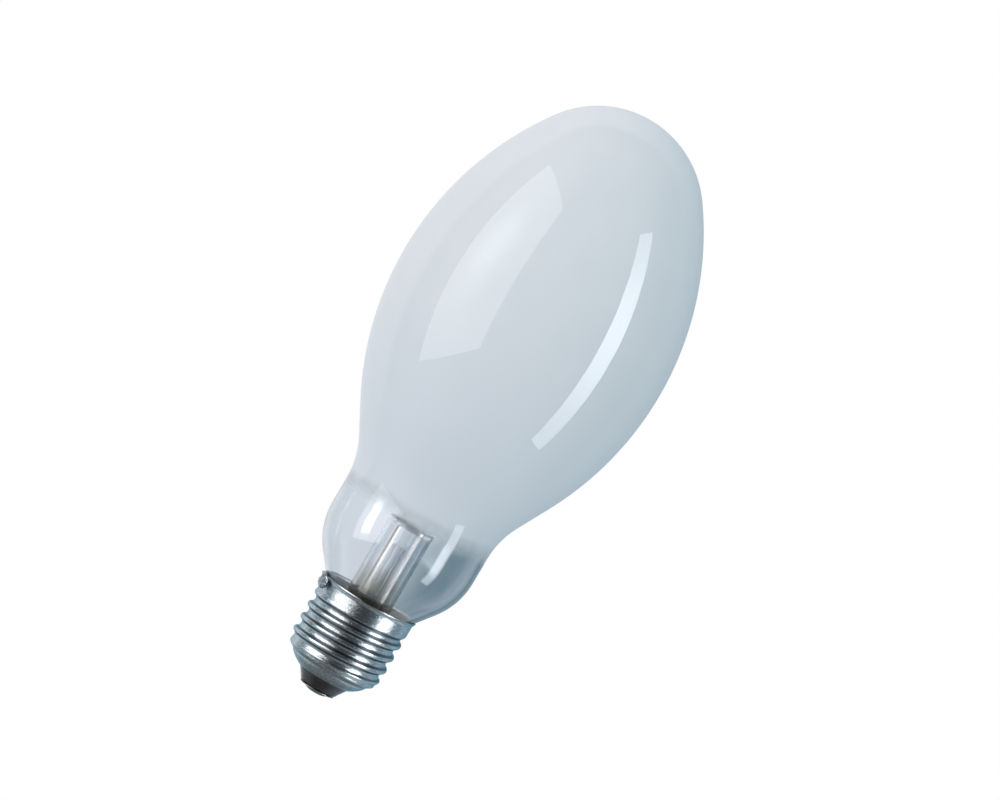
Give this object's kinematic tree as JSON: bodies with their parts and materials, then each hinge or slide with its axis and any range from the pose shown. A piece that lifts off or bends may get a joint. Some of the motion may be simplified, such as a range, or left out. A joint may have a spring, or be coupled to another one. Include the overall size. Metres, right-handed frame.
{
  "type": "high pressure sodium lamp",
  "caption": "Elliptical discharge lamp: a hollow white-coated glass bulb with a clear neck and glass stem, an alumina arc tube on a wire frame, and an Edison screw cap.",
  "frame": {"origin": "centre of the flat on the contact solder, the lowest point of the lamp on its axis", "axes": "+Z along the lamp's axis from the contact towards the tip of the bulb; -Y faces the picture's camera; the shell lead is soldered to the rim at azimuth 195 degrees"},
  "size_m": [0.075, 0.075, 0.1696],
  "materials": {
    "coated_glass": "clear outer bulb with a soft white powder coating inside, smooth and glossy outside, its neck left clear",
    "clear_glass": "clear glass",
    "black_glass": "glossy black vitreous insulator",
    "nickel": "nickel-plated sheet, bright with a fine grain",
    "nickel_foil": "thin nickel strip",
    "brass": "plain brass contact",
    "solder": "cast solder, satin",
    "cement": "baked cap cement, matt",
    "copper": "copper-coloured lead wire",
    "steel": "bright drawn wire and strip",
    "alumina": "translucent white alumina",
    "niobium": "grey metal tube and foil",
    "tungsten": "dark grey metal wire",
    "frit": "matt sealing glass"
  },
  "bodies": {
    "root": {"cap_shell": "nickel", "cap_insulator": "black_glass", "contact_plate": "brass", "contact_solder": "solder", "rim_solder": "solder", "cap_cement": "cement", "outer_bulb": "coated_glass", "stem_glass": "clear_glass", "exhaust_tube": "clear_glass", "shell_lead": "copper", "contact_lead": "copper", "short_post": "steel", "frame_rod": "steel", "lower_strap": "steel", "upper_guide": "steel", "expansion_strap": "nickel_foil", "arc_tube": "alumina", "lower_feedthrough": "niobium", "upper_feedthrough": "niobium", "lower_electrode": "tungsten", "upper_electrode": "tungsten", "lower_seal": "frit", "upper_seal": "frit", "lower_heat_band": "niobium", "upper_heat_band": "niobium", "starting_wire": "tungsten", "getter_ring_1": "nickel_foil", "getter_ring_2": "nickel_foil", "getter_arm_1": "steel", "getter_arm_2": "steel"}
  },
  "joints": []
}
